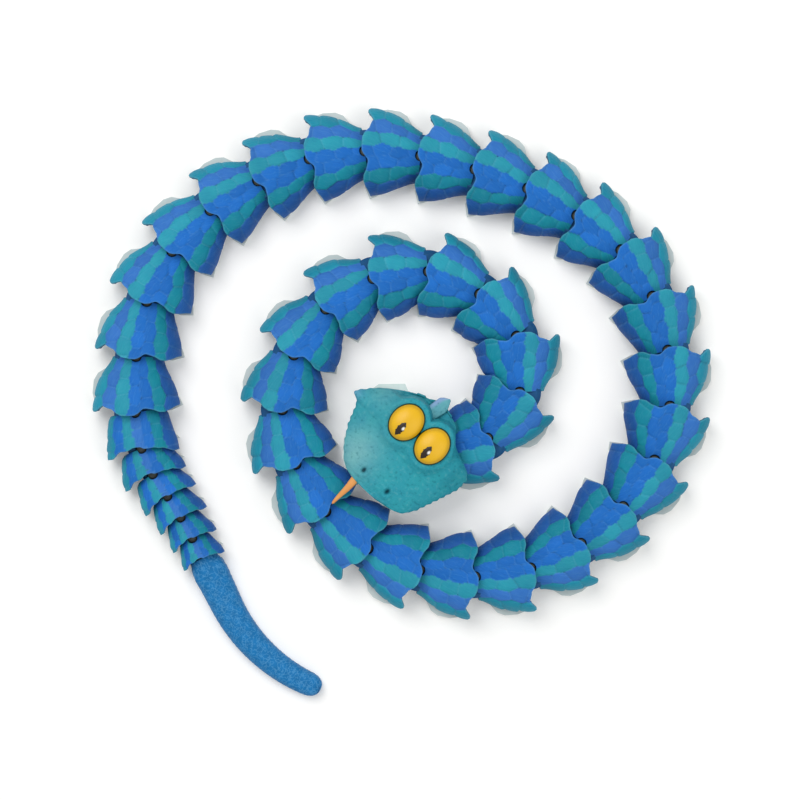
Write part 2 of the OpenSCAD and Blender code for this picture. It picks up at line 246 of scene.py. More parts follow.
def signed_power(v, p):
    """v to the power p, keeping its sign."""
    return np.sign(v) * np.abs(v) ** p


def eased(x, xs, ys, reach=0.9):
    """A table read with its corners eased: the mean of seven readings close together."""
    return np.mean([np.interp(x + d * reach, xs, ys) for d in np.linspace(-1, 1, 7)], axis=0)


def hump(x, y, middle, spread):
    """A smooth hump that is 1 at its middle: e^(-(dx / sx)^2 - (dy / sy)^2)."""
    return np.exp(-((x - middle[0]) / spread[0]) ** 2 - ((y - middle[1]) / spread[1]) ** 2)


def blend(colours, other, share):
    """Colours drawn toward another one by a share of 0 to 1 at each point."""
    return colours + (other - colours) * share[..., None]


def place(points, at, heading):
    """Points in a piece's own frame turned to a heading and moved to a place on the table."""
    c, s = math.cos(heading), math.sin(heading)
    x, y = points[..., 0], points[..., 1]
    return np.stack([at[0] + c * x - s * y, at[1] + s * x + c * y, points[..., 2]], -1)


def hash_of(*parts):
    """A steady value from 0 to 1 for whole-number arrays: the fraction of a large sine."""
    total = sum(np.asarray(p, float) * w for p, w in zip(parts, (12.9898, 78.233, 37.719)))
    return np.modf(np.abs(np.sin(total) * 43758.5453))[0]


def link_shape(number):
    """Front and rear half width, and front and rear height, of a link counted from 1 at the neck."""
    def rear(n):
        return REAR_HALF if n <= LARGE_COUNT else SMALL_REAR_HALF * SMALL_TAPER ** (n - LARGE_COUNT - 1)

    def tall(n):
        return REAR_HEIGHT if n <= LARGE_COUNT else SMALL_REAR_HEIGHT * SMALL_HEIGHT_SHARE ** (n - LARGE_COUNT - 1)

    if number <= LARGE_COUNT:
        front = FRONT_HALF
    elif number == LARGE_COUNT + 1:
        front = FIRST_SMALL_FRONT
    else:
        front = SMALL_FRONT_SHARE * (rear(number - 1) - WALL)
    low = tall(max(number - 1, 1)) * (1 - ROOF_GAP_SHARE) - ROOF
    return front, rear(number), low, tall(number)


def link_place(name):
    """Front hinge, pitch and heading of a link."""
    start = HINGE_BEFORE[name]
    step = HINGE_AFTER[name] - start
    return start, float(np.hypot(*step)), math.atan2(step[1], step[0])


def scales(x, q, pitch, length, number):
    """Scales of a link: a place belongs to the nearest of the points that lie in rows along each column, every
    other column shifted by half a row, all a little out of line. Gives the nearest point's column and two steady
    values of it, the offset from it, and how much farther the second and the third nearest points are."""
    width = REAR_HALF * length / SCALE_LENGTH
    middle = (COLUMN_ENDS[1:] + COLUMN_ENDS[:-1]) / 2
    c, r = [v.ravel() for v in np.meshgrid(np.arange(len(middle)), ROWS_OF_SCALES, indexing="ij")]
    px = pitch - (r + FIRST_ROW + 0.5 * (c % 2) + ALONG_JITTER * (hash_of(c, r, number) - 0.5)) * length
    py = (middle[c] + ACROSS_JITTER * (hash_of(r, c, number + 7) - 0.5)) * width
    y = q * width
    distance = np.hypot((x[..., None] - px) * SCALE_STRETCH, y[..., None] - py)
    order = np.argsort(distance, axis=-1)[..., :3]
    near = np.take_along_axis(distance, order, -1)
    first = order[..., 0]
    column, row = c[first], r[first]
    tone, turn = hash_of(column, row, number + 3), hash_of(row, number, column + 11)
    return column, tone, turn, x - px[first], y - py[first], near[..., 1] - near[..., 0], near[..., 2] - near[..., 0]


def link_skin(name, number):
    """Scaled skin of one link. Across, it follows the shell's arch: y = w sin(a)^0.8, z = foot + h cos(a)^0.8, and
    w widens toward the rear differently on the inner and the outer side. Along, it runs from the front hinge,
    round the knob's hole there, to the lobed rear edge, where it folds under the roof. Each scale is a low,
    slightly tilted cushion, and the cushions flatten toward the front and the foot."""
    start, pitch, heading = link_place(name)
    front, rear, low, top = link_shape(number)
    small = number > LARGE_COUNT
    share = rear / REAR_HALF
    across, along = SMALL_GRID if small else LARGE_GRID
    a = np.linspace(-90, 90, across)[None, :]
    v = np.linspace(0, 1, along)[:, None] + 0 * a
    sine = signed_power(np.sin(np.radians(a)), ARCH_POWER)
    q = sine + 0 * v
    if small:
        cut = eased(q, SMALL_PLACE, SMALL_CUT, SMALL_EASE) * SMALL_REACH * rear / SMALL_REAR_HALF
    else:
        cut = eased(q, EDGE_PLACE, EDGE_CUT, EDGE_EASE)
    edge = pitch + SKIN_END - cut
    begin = SKIN_BEGIN + np.sqrt(np.maximum(KNOB_HOLE_R ** 2 - (front * q) ** 2, 0))
    x = begin + v * (edge - begin)
    t = x / pitch
    if small:
        flare = eased(t, SMALL_T, SMALL_FLARE, 0.04)
    else:
        flare = np.where(q > 0, eased(t, FLARE_T, INNER_FLARE, 0.05), eased(t, FLARE_T, OUTER_FLARE, 0.05))
    half = front + (rear - front) * flare
    height = low + (top - low) * np.minimum(t, 1)
    rise = (height - ARCH_FOOT) * signed_power(np.cos(np.radians(a)), ARCH_POWER)
    grid = np.stack([x, half * sine, ARCH_FOOT + rise], -1)

    length = SCALE_LENGTH * (share if small else 1)
    column, tone, turn, dx, dy, second, third = scales(x, q, pitch, length, number)
    fade = np.clip((90 - np.abs(a)) / 10, 0.1, 1) * np.clip((t - 0.05) / 0.35, 0, 1)
    cushion = CUSHION * (1 - np.exp(-(second / (SEAM_WIDTH * share)) ** 2)) \
        + CUSHION_SLOPE * np.minimum(second, CUSHION_REACH * share)
    tilt = SCALE_TILT * (dx * np.cos(9 * turn) + 1.4 * dy * np.sin(9 * turn))
    lift = SKIN_LIFT + share * fade * (cushion + tilt + CUSHION_LIFT)
    n = normals_of(grid)
    n *= np.where(n[along // 2, across // 2, 2] < 0, -1, 1)
    shaped = grid + n * lift[..., None]
    under = shaped[-1:] - LIP_DOWN * share * n[-1:]
    tucked = under - [LIP_FORWARD * share, 0, 0]
    shaped = np.concatenate([shaped, under, tucked], 0)
    foot = shaped[:, [0, -1]].copy()
    foot[..., 2] = SKIRT_BOTTOM
    fold = foot * FOOT_FOLD
    skin = np.concatenate([fold[:, :1], foot[:, :1], shaped, foot[:, 1:], fold[:, 1:]], 1)

    seam = SEAM_PALENESS * np.exp(-(second / (0.26 * share)) ** 2) * fade
    pit = PIT_DARKNESS * np.exp(-(third / (0.4 * share)) ** 2) * (turn > 0.5)
    rim = RIM_PALENESS * np.clip((v - 0.975) / 0.025, 0, 1)
    link_tone = LINK_TONE_SPREAD * (hash_of(number, number + 3) - 0.5)
    colours = (SMALL_COLOURS if small else LARGE_COLOURS)[column]
    colours = colours * (1 + TONE_SPREAD * (tone - 0.5) + link_tone)[..., None]
    colours = blend(colours, SEAM_PALE, np.maximum(seam, rim)) * (1 - pit[..., None])
    # The lip's two rows, turned down and tucked under the rear edge, are darkened to 0.8 and 0.4 of the edge's colour
    # as painted shade under that edge
    colours = np.concatenate([colours, colours[-1:] * 0.8, colours[-1:] * 0.4], 0)
    colours = np.concatenate([colours[:, :1]] * 2 + [colours] + [colours[:, -1:]] * 2, 1)
    arc = np.cumsum(np.linalg.norm(np.diff(skin, axis=1, prepend=skin[:, :1]), axis=-1), 1)

    piece = new_object(name + "_skin", place(skin, start, heading), top_faces(skin))
    paint(piece, colours, np.stack([arc, skin[..., 0]], -1))
    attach(piece, name)
    piece.data.materials.append(SKIN)


def pin_cap(name, child, number):
    """Grey knob on the pin in front of a child link: a low rounded button, turned about the pin. The number is
    that of the link that has the pin, and 0 for the head."""
    low = link_shape(number + 1)[2]
    r, z = (KNOB + [0, low - PIN_TOP_DROP]).T[..., None]
    b = np.linspace(0, 2 * np.pi, KNOB_AROUND, endpoint=False)[None, :]
    at = HINGE_BEFORE[child]
    grid = np.stack([at[0] + r * np.cos(b), at[1] + r * np.sin(b), z + 0 * b], -1)
    piece = new_object(name, grid, ring_faces(grid))
    piece.data.materials.append(PIN)
    return piece


# Head, in millimetres in its own frame: x from the middle of the eyes toward the neck, y to the snake's left
HEAD_HEADING = math.radians(47)
EYES_FROM_NECK = np.array([3.2, 10.1, 0])
MOUTH_HEIGHT = 18.6
RIM_HEIGHT = MOUTH_HEIGHT + 1.2
SKIN_FOOT = MOUTH_HEIGHT + 0.02
SNOUT_LENGTH = 31.8
HEAD_GRID = (220, 181)
HEAD_FOLD = [1, 0.94, 1]
HEAD_WALL = 0.8
EYE_SIDE = 6.9
EYE_FRONT = 1.1
EYE_HALF_LENGTH = 8.2
EYE_HALF_WIDTH = 6.9
EYE_SEAT = 28.0
EYE_LIFT = 0.25
EYE_DOME = 4.6
DOME_SHARE = 0.94
EYE_AROUND = 72
COLLAR_WIDTH = 0.9
COLLAR_TOP = EYE_SEAT + 0.5
PUPIL_FRONT = 3.4
PUPIL_LENGTH = 6.4
PUPIL_WIDTH = 2.8
PUPIL_SIDE = 0.1
PUPIL_GRID = (41, 15)
PUPIL_WALL = 0.5
NOSTRIL_FRONT = 26.6
NOSTRIL_SIDE = 6.3
NOSTRIL_STRETCH = 1.5
NOSTRIL_R = 0.75
NOSTRIL_DEPTH = 1.5
TONGUE_GRID = (40, 20)
TONGUE_ROOT = 26.0
TONGUE_SIDE = 6.4
TONGUE_REACH = 13.4
TONGUE_WIDTH = 4.4
TONGUE_THICKNESS = 1.8
FLAP_GRID = (40, 31)
FLAP_HEIGHT = 20.6
# Outline of the head on each side: places along it, and half widths there
LEFT_X = [-32.2, -31.8, -31.0, -29, -24.5, -17.3, -9.8, -8.4, -6.8, -5.6, -3, 0.5, 3.6, 7, 9.8, 11.6, 12.8, 13.2]
LEFT_HALF = [4.0, 8.8, 12.0, 15.2, 19.3, 23.7, 26.4, 27.2, 30.2, 30.6, 28.4, 25.4, 21.8, 16.9, 12.2, 7.6, 3.6, 0.5]
RIGHT_X = [-32.2, -31.6, -30.8, -29.2, -24.7, -13.7, -6.8, -1.4, 0.6, 2.2, 3.6, 5.2, 7.5, 10.2, 11.8, 12.8, 13.2]
RIGHT_HALF = [4.0, 8.8, 12.9, 16.6, 19.8, 24.0, 26.5, 26.5, 24.6, 21.6, 17.4, 13.8, 11.6, 9.6, 7.6, 4.2, 0.5]
SPIKE_AT = (-6.1, 30.4)
# Height of the head's middle line along it
TOP_X = [-31.2, -29.5, -26, -20, -13, -6, 2, 8, 12, 14.6]
TOP_HEIGHT = [21.2, 22.6, 23.6, 24.6, 25.9, 27.0, 27.0, 25.6, 23.4, 20.6]


def head_place(points):
    """Points of the head's own frame, stood in the scene beside the neck's hinge."""
    return place(points, place(EYES_FROM_NECK, HINGE_BEFORE["link_01"], HEAD_HEADING), HEAD_HEADING)


def eye_ring(x, y, side, collar=0.0):
    """Distance from the middle of an eye as a share of its edge, or of its collar's edge."""
    return np.hypot((x + EYE_FRONT) / (EYE_HALF_LENGTH + collar), (y - side * EYE_SIDE) / (EYE_HALF_WIDTH + collar))


def nostril_ring(x, y, side):
    """Distance from the middle of a nostril, in millimetres across it."""
    return np.hypot((x + NOSTRIL_FRONT) / NOSTRIL_STRETCH, y - side * NOSTRIL_SIDE)


def dome_height(ring):
    """Height of an eye's dome, for a distance from its middle as a share of its edge."""
    return EYE_SEAT + EYE_LIFT + EYE_DOME * np.sqrt(np.clip(1 - ring ** 2, 0, 1)) * DOME_SHARE


def lumps(x, y):
    """Lumps like squeezed foam, up to 1: sums of crossed waves of unlike lengths."""
    return (np.sin(1.9 * x + 2.3 * y) * np.sin(2.6 * y - 1.2 * x + 0.7) + 0.6 * np.sin(4.1 * x - 1.7 * y + 2)
            * np.sin(3.3 * y + 2.9 * x) + 0.5 * np.sin(0.7 * x + 1.1) * np.sin(0.8 * y + 0.3 * x)) / 2


def head_top(x, y):
    """Height of the head over a place: an arch over the outline, raised to a collar round each eye, dipped
    toward the snout, falling off close behind the collars, with a brow at each side and two nostril pits."""
    half = np.maximum(np.where(y > 0, np.interp(x, LEFT_X, LEFT_HALF), np.interp(x, RIGHT_X, RIGHT_HALF)), 0.5)
    q = np.clip(np.abs(y) / half, 0, 1)
    z = RIM_HEIGHT + (eased(x, TOP_X, TOP_HEIGHT, 1.5) - RIM_HEIGHT) * (1 - q ** 2.6) ** 0.62
    for side in (-1, 1):
        ring = eye_ring(x, y, side, COLLAR_WIDTH)
        collar = np.where(ring < 1, 1.0, np.exp(-((ring - 1) / 0.26) ** 2))
        z = z + collar * (COLLAR_TOP - z) * 0.98
        pit = nostril_ring(x, y, side)
        z = z - NOSTRIL_DEPTH * np.exp(-(pit / NOSTRIL_R) ** 2) + 0.5 * np.exp(-((pit - 1.7) / 0.8) ** 2)
        z = z + hump(x, np.abs(y), (-4, 19), (8, 3.5))
    z = z - 0.9 * hump(x, y, (-14, 0), (5, 9))
    ring = eye_ring(x, np.abs(y), 1, COLLAR_WIDTH)
    fall = np.clip((ring - 1.12) / 0.2, 0, 1) * np.clip((x - 4) / 2.5, 0, 1)
    return z + (MOUTH_HEIGHT + 0.3 - z) * fall * fall * (3 - 2 * fall)


def head_colours(x, y, z):
    """Teal, paler on the left of the snout and behind the left eye, deeper round the brows, with a pale spike,
    a darker rim and dark nostrils."""
    pale = 0.75 * hump(x, y, (-24, 14), (11, 9)) + 0.4 * hump(x, y, (2, 22), (7, 7))
    deep = 0.25 * hump(x, y, (-2, 17), (8, 5)) + 0.35 * hump(x, y, (-2, -16), (10, 7))
    colours = blend(blend(HEAD_TEAL, HEAD_PALE, pale), HEAD_DEEP, deep)
    colours = blend(colours, SPIKE_PALE, 0.7 * hump(x, y, SPIKE_AT, (3, 3)))
    rim = np.clip((MOUTH_HEIGHT + 1.4 - z) / 1.4, 0, 1)
    pit = np.maximum(*[np.exp(-(nostril_ring(x, y, side) / NOSTRIL_R) ** 4) for side in (-1, 1)])
    return colours * ((1 - 0.2 * rim) * (1 - 0.8 * pit))[..., None]


def head_skin():
    """Top of the head: x runs along it, and y = half width times sin(a), with a half width for each side, lifted
    to the head's height there; the rim turns under to the mouth. Lumps roughen it."""
    rows, columns = HEAD_GRID
    u = np.linspace(0, 1, rows)[:, None]
    x = LEFT_X[0] + (LEFT_X[-1] - LEFT_X[0]) * (0.5 - 0.5 * np.cos(np.pi * u)) ** 0.92
    q = np.sin(np.radians(np.linspace(-90, 90, columns)))[None, :]
    half = np.where(q > 0, eased(x, LEFT_X, LEFT_HALF, 0.4), eased(x, RIGHT_X, RIGHT_HALF, 0.5))
    half = half + 0.22 * np.sin(2.3 * x + 4 * (q > 0)) * np.clip((x + 30) / 6, 0, 1) * np.clip((4 - x) / 4, 0, 1)
    y = half * q
    x = x + 0 * q
    z = head_top(x, y) + 0.22 * lumps(x, y) * np.clip(1.25 - np.abs(q), 0, 1)
    ruffle = 0.45 * np.sin(9 * np.arctan2(y, x + 6)) * np.clip(np.abs(q) - 0.75, 0, 0.25) * 4
    grid = np.stack([x, y, z + ruffle], -1)
    under = grid[:, [0, -1]].copy()
    under[..., 2] = SKIN_FOOT
    fold = under * HEAD_FOLD
    grid = np.concatenate([fold[:, :1], under[:, :1], grid, under[:, 1:], fold[:, 1:]], 1)
    ends = grid[[0, -1]].copy()
    ends[..., 2] = SKIN_FOOT
    grid = np.concatenate([ends[:1], grid, ends[1:]], 0)
    piece = new_object("head_skin", head_place(grid), top_faces(grid))
    paint(piece, head_colours(*np.moveaxis(grid, -1, 0)), grid[..., 1::-1])
    thicken(piece, HEAD_WALL)
    piece.data.materials.append(HEAD_SKIN)
    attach(piece, "head")
    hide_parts("head_shell")


def neck_flap():
    """The pale flap behind the eyes: a shield whose half width runs along a bent middle line, domed by 1 - c^2."""
    rows, columns = FLAP_GRID
    s = np.linspace(0, 1, rows)[:, None]
    c = np.linspace(-1, 1, columns)[None, :]
    half = eased(s, [0, 0.3, 0.7, 0.85, 1], [2.4, 3.0, 3.2, 2.2, 0.5], 0.03)
    x = 6.0 + 11.4 * s + 0.42 * half * c - 0.6 * (c > 0.6) * (c - 0.6)
    y = 2.8 - 2.6 * s + 0.91 * half * c
    z = FLAP_HEIGHT + 1.1 * (1 - c ** 2) ** 0.6 * (1 - 0.5 * s) + 0.10 * lumps(x, y) - 0.9 * s
    grid = np.stack([x, y, z], -1)
    edge = np.clip((c - 0.25) / 0.4, 0, 1) * np.clip(2 * s, 0, 1)
    piece = new_object("neck_flap", head_place(grid), top_faces(grid))
    paint(piece, blend(FLAP_TEAL, FLAP_BLUE, edge), grid[..., :2])
    thicken(piece, HEAD_WALL)
    piece.data.materials.append(HEAD_SKIN)
    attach(piece, "head")


def eye(name, side):
    """An eye: an oval dome, z = dome sqrt(1 - r^2), whose last ring stands in the seat; its rim is painted dark."""
    r = np.concatenate([np.linspace(0.02, 0.9, 22), np.linspace(0.92, 1, 8), [1.0]])[:, None]
    b = np.linspace(0, 2 * np.pi, EYE_AROUND, endpoint=False)[None, :]
    x = r * np.cos(b) * EYE_HALF_LENGTH - EYE_FRONT
    y = side * EYE_SIDE + r * np.sin(b) * EYE_HALF_WIDTH
    z = dome_height(r)
    z[-1] = EYE_SEAT
    grid = np.stack([x, y, z + 0 * b], -1)
    px = (x + EYE_FRONT + PUPIL_FRONT) / (PUPIL_LENGTH / 2)
    py = (y - side * EYE_SIDE - PUPIL_SIDE) / (PUPIL_WIDTH / 2)
    shade = 0.22 * np.exp(-((r - 0.86) / 0.09) ** 2)
    glow = 0.12 * np.exp(-(px ** 2 + py ** 2) / 8)
    rim = np.clip((r - 0.915) / 0.02, 0, 1) + 0 * b
    colours = blend(EYE_YELLOW * (1 - shade - glow)[..., None], EYE_RIM, rim)
    piece = new_object(name + "_dome", head_place(grid), [f[::-1] for f in ring_faces(grid)])
    paint(piece, colours, grid[..., :2])
    piece.data.materials.append(EYE)
    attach(piece, "head")
    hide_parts(name)


def pupil(name, side):
    """A pupil: a ragged leaf, half width w (1 - |s|^2.2)^0.8, laid just over the eye's dome, with a pale glint."""
    rows, columns = PUPIL_GRID
    s = np.linspace(-1, 1, rows)[:, None]
    c = np.linspace(-1, 1, columns)[None, :]
    ragged = 1 + 0.10 * np.sin(11 * s + 1) + 0.06 * np.sin(23 * s)
    half = PUPIL_WIDTH / 2 * np.maximum(1 - np.abs(s) ** 2.2, 0.02) ** 0.8 * ragged
    x = -EYE_FRONT - PUPIL_FRONT + s * PUPIL_LENGTH / 2 + 0 * c
    y = side * EYE_SIDE + half * c + PUPIL_SIDE
    z = dome_height(eye_ring(x, y, side)) + 0.10 + 0.12 * (1 - c ** 2)
    grid = np.stack([x, y, z], -1)
    gx = (x + EYE_FRONT + PUPIL_FRONT - 0.7) / 0.75
    gy = (y - side * EYE_SIDE + 0.75) / 0.55
    glint = np.exp(-(gx ** 2 + gy ** 2) ** 2)
    piece = new_object(name + "_leaf", head_place(grid), top_faces(grid))
    paint(piece, blend(PUPIL_DARK, GLINT_WHITE, glint), grid[..., :2])
    thicken(piece, PUPIL_WALL)
    piece.data.materials.append(EYE)
    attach(piece, "head")
    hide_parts(name)


def tongue():
    """The tongue: an oval section, narrowing evenly from the mouth to a blunt point."""
    rows, around = TONGUE_GRID
    s = np.linspace(0, 1, rows)[:, None]
    b = np.linspace(0, 2 * np.pi, around, endpoint=False)[None, :]
    half = TONGUE_WIDTH / 2 * (1 - 0.76 * s) * np.minimum(1, np.sqrt(np.maximum(1.001 - s, 0) / 0.04))
    thick = TONGUE_THICKNESS / 2 * (1 - 0.45 * s)
    x = -TONGUE_ROOT - s * (SNOUT_LENGTH + TONGUE_REACH - TONGUE_ROOT) + 0 * b
    y = TONGUE_SIDE + half * np.cos(b) + 0.12 * np.sin(9 * s)
    z = MOUTH_HEIGHT + TONGUE_THICKNESS / 2 + thick * np.sin(b)
    grid = np.stack([x, y, z], -1)
    piece = new_object("tongue_blade", head_place(grid), ring_faces(grid))
    piece.data.materials.append(TONGUE)
    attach(piece, "head")
    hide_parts("tongue")


# Tail tip, in millimetres in its own frame: it runs straight, then turns evenly
TAIL_STRAIGHT = 24.0
TAIL_LENGTH = 74.0
TAIL_TURN = math.radians(42)
TURN_LEAD = 2.1
TAIL_HALF = 6.8
TAIL_END_HALF = 4.4
TAIL_TOP = 9.2
TAIL_DROP = 2.4
TAIL_FOOT = 2.6
TAIL_WALL = 0.6
TAIL_ARCH_POWER = 0.85
TAIL_LIFT = 0.15
CAP_LENGTH = 6.0
CAP_REACH = 6.4
CAP_POWER = 2.4


def tail_skin():
    """Skin of the tail tip: a fat arch carried along its line and closed in a round end, where the half width
    falls as (1 - e^2.4)^(1/2.4). Over the hinge it stands on the skirt's height, and behind it on the table."""
    step = HINGE_BEFORE["tail_tip"] - HINGE_BEFORE["tail_link_6"]
    heading = math.atan2(step[1], step[0])
    cap_start = TAIL_LENGTH - CAP_LENGTH
    s = np.concatenate([np.linspace(0.3, cap_start, 140),
                        cap_start + CAP_REACH * np.sin(np.linspace(0, np.pi / 2, 31))[1:]])
    turn = TAIL_TURN * np.clip((s + TURN_LEAD - TAIL_STRAIGHT) / (TAIL_LENGTH - TAIL_STRAIGHT), 0, 1)
    step = np.diff(s, prepend=0)
    cx, cy = np.cumsum(step * np.cos(turn))[:, None], np.cumsum(step * np.sin(turn))[:, None]
    cap = np.clip(1 - np.clip((s - cap_start) / CAP_REACH, 0, 1) ** CAP_POWER, 3e-5, 1) ** (1 / CAP_POWER)
    half = np.interp(s, [0, 2.2, 3.6, 8, TAIL_LENGTH], [5.5, 5.9, 6.4, TAIL_HALF, TAIL_END_HALF]) * cap
    top = (TAIL_TOP - np.interp(s, [8, 9.5, TAIL_LENGTH], [0, 0.3, TAIL_DROP])) * (0.45 + 0.55 * cap)
    base = np.minimum(np.interp(s, [8, 12], [ARCH_FOOT, TAIL_FOOT]) * cap, top)
    foot = np.interp(s, [0, 3.3, 3.5], [SKIRT_BOTTOM, SKIRT_BOTTOM, 0.05])
    s, turn, half, top, base, foot = (v[:, None] for v in (s, turn, half, top, base, foot))
    a = np.radians(np.linspace(-90, 90, 61))[None, :]
    dots = 0.10 * np.sin(5.1 * s) * np.sin(16 * a + 2.55 * s)
    across = (half + 0.12 + dots) * signed_power(np.sin(a), TAIL_ARCH_POWER)
    z = base + (top + TAIL_LIFT + dots - base) * signed_power(np.cos(a), TAIL_ARCH_POWER)
    grid = np.stack([cx - across * np.sin(turn), cy + across * np.cos(turn), z], -1)
    low = grid[:, [0, -1]].copy()
    low[..., 2] = foot
    grid = np.concatenate([low[:, :1], grid, low[:, 1:]], 1)
    tone = 1 + 0.10 * np.sin(0.9 * grid[..., 0]) * np.sin(1.1 * grid[..., 1])
    piece = new_object("tail_skin", place(grid, HINGE_BEFORE["tail_tip"], heading), top_faces(grid))
    paint(piece, TAIL_BLUE * tone[..., None], grid[..., :2])
    thicken(piece, TAIL_WALL)
    piece.data.materials.append(TAIL_SKIN)
    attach(piece, "tail_tip")


def new_material(name, specular):
    """A material with an empty main shader, as the material, its node tree and the shader."""
    material = bpy.data.materials.new(name)
    material.use_nodes = True
    tree = material.node_tree
    tree.nodes.clear()
    shader = tree.nodes.new("ShaderNodeBsdfPrincipled")
    output = tree.nodes.new("ShaderNodeOutputMaterial")
    tree.links.new(shader.outputs["BSDF"], output.inputs["Surface"])
    shader.inputs["Specular IOR Level"].default_value = specular
    return material, tree, shader


def noise(tree, scale, detail, source="Object", stretch=(1.0, 1.0, 1.0)):
    """A noise texture read on object or UV places, stretched if asked, whose factor is given back."""
    coordinates = tree.nodes.new("ShaderNodeTexCoord")
    mapping = tree.nodes.new("ShaderNodeMapping")
    mapping.inputs["Scale"].default_value = stretch
    texture = tree.nodes.new("ShaderNodeTexNoise")
    texture.inputs["Scale"].default_value = scale
    texture.inputs["Detail"].default_value = detail
    tree.links.new(coordinates.outputs[source], mapping.inputs["Vector"])
    tree.links.new(mapping.outputs["Vector"], texture.inputs["Vector"])
    return texture.outputs["Fac"]


def ramp(tree, value, low, high, start=0.3, end=0.7):
    """Remaps a value from start..end to low..high."""
    node = tree.nodes.new("ShaderNodeMapRange")
    for name, number in (("From Min", start), ("From Max", end), ("To Min", low), ("To Max", high)):
        node.inputs[name].default_value = number
    tree.links.new(value, node.inputs["Value"])
    return node.outputs["Result"]


def mix(tree, factor, a, b):
    """Mixes two colours, each a socket or a plain colour, by a factor that is a socket."""
    node = tree.nodes.new("ShaderNodeMix")
    node.data_type = "RGBA"
    tree.links.new(factor, node.inputs["Factor"])
    for name, value in (("A", a), ("B", b)):
        socket = [s for s in node.inputs if s.name == name and s.type == "RGBA"][0]
        if isinstance(value, bpy.types.NodeSocket):
            tree.links.new(value, socket)
        else:
            socket.default_value = (*value, 1)
    return [s for s in node.outputs if s.type == "RGBA"][0]


def arithmetic(tree, operation, value, other=0.0):
    """One arithmetic step on a value, with a plain number beside it."""
    node = tree.nodes.new("ShaderNodeMath")
    node.operation = operation
    node.inputs[1].default_value = other
    tree.links.new(value, node.inputs[0])
    return node.outputs[0]


def bump(tree, shader, layers):
    """Chains bump layers of (height socket, distance in millimetres, strength) into a shader's normal."""
    last = None
    for height, distance, strength in layers:
        node = tree.nodes.new("ShaderNodeBump")
        node.inputs["Distance"].default_value = distance * MM
        node.inputs["Strength"].default_value = strength
        tree.links.new(height, node.inputs["Height"])
        if last is not None:
            tree.links.new(last, node.inputs["Normal"])
        last = node.outputs["Normal"]
    tree.links.new(last, shader.inputs["Normal"])


# Noises, as scale and detail: the larger the scale, the finer the noise
FINE_GRAIN = (2600, 2)
SHADES = (180, 4)
RIDGES = (11, 3)
RIDGE_STRETCH = (8.0, 1.0, 1.0)
FOAM = (620, 5)
WORMS = (700, 1)
SKIN_GLOSS = (900, 3)
PLAIN_SHADES = (240, 4)
PLAIN_GLOSS = (700, 2)
PLAIN_DETAIL = 3
BELLY_SHADES = (150, 4)
BODY_SHADES = (200, 3)
BODY_GLOSS = (800, 2)
BODY_GRAIN = (1800, 3)
BELLY_TOP = 3.5
BELLY_BLEND = 0.2


def painted_print(name, ridges=0.0, foam=0.0, worms=0.0, roughness=(0.5, 0.68), specular=0.15):
    """Printed plastic that takes its colour from the piece's paint, with a fine grain. If asked, it gets bumps of
    so many millimetres and a patchy tone: fine lengthwise ridges read along the skin, foam pits that darken it,
    or pale winding lines."""
    material, tree, shader = new_material(name, specular)
    colour = tree.nodes.new("ShaderNodeAttribute")
    colour.attribute_name = "paint"
    toned = colour.outputs["Color"]
    layers = [(noise(tree, *FINE_GRAIN), 0.12, 0.35)]
    if ridges or foam or worms:
        toned = mix(tree, ramp(tree, noise(tree, *SHADES), 0.0, 0.18), toned, PATCH_BLUE)
    if ridges:
        lines = noise(tree, *RIDGES, "UV", RIDGE_STRETCH)
        toned = mix(tree, ramp(tree, lines, 0.0, 0.08, 0.52, 0.75), toned, RIDGE_PALE)
        toned = mix(tree, ramp(tree, lines, 0.2, 0.0, 0.25, 0.45), toned, RIDGE_DARK)
        layers.insert(0, (lines, ridges, 0.6))
    if foam:
        cells = noise(tree, *FOAM)
        toned = mix(tree, ramp(tree, cells, 0.4, 0.0, 0.30, 0.43), toned, FOAM_DARK)
        toned = mix(tree, ramp(tree, cells, 0.0, 0.12, 0.55, 0.72), toned, FOAM_PALE)
        layers.insert(0, (cells, foam, 0.8))
    if worms:
        line = arithmetic(tree, "ABSOLUTE", arithmetic(tree, "SUBTRACT", noise(tree, *WORMS), 0.5))
        toned = mix(tree, ramp(tree, line, 0.0, 0.34, 0.07, 0.0), toned, WORM_PALE)
        layers.insert(0, (line, worms, 0.6))
    tree.links.new(toned, shader.inputs["Base Color"])
    tree.links.new(ramp(tree, noise(tree, *SKIN_GLOSS), *roughness), shader.inputs["Roughness"])
    bump(tree, shader, layers)
    return material


def plain_print(name, colour, dark, grain=1500):
    """Printed plastic in one colour with darker patches and a fine grain."""
    material, tree, shader = new_material(name, 0.25)
    patches = ramp(tree, noise(tree, *PLAIN_SHADES), 0.0, 0.5)
    tree.links.new(mix(tree, patches, colour, dark), shader.inputs["Base Color"])
    tree.links.new(ramp(tree, noise(tree, *PLAIN_GLOSS), 0.45, 0.65), shader.inputs["Roughness"])
    bump(tree, shader, [(noise(tree, grain, PLAIN_DETAIL), 0.15, 0.5)])
    return material


def link_body_print():
    """The solid under a skin: pale belly up to the foot of the skin, blue above it, by height."""
    material, tree, shader = new_material("link_body", 0.2)
    coordinates = tree.nodes.new("ShaderNodeTexCoord")
    split = tree.nodes.new("ShaderNodeSeparateXYZ")
    tree.links.new(coordinates.outputs["Object"], split.inputs["Vector"])
    above = ramp(tree, split.outputs["Z"], 0.0, 1.0, BELLY_TOP * MM, (BELLY_TOP + BELLY_BLEND) * MM)
    pale = mix(tree, ramp(tree, noise(tree, *BELLY_SHADES), 0, 0.35), BELLY_GREY, BELLY_SHADE)
    blue = mix(tree, ramp(tree, noise(tree, *BODY_SHADES), 0, 0.4), BODY_BLUE, BODY_DARK)
    tree.links.new(mix(tree, above, pale, blue), shader.inputs["Base Color"])
    tree.links.new(ramp(tree, noise(tree, *BODY_GLOSS), 0.5, 0.7), shader.inputs["Roughness"])
    bump(tree, shader, [(noise(tree, *BODY_GRAIN), 0.14, 0.5)])
    return material


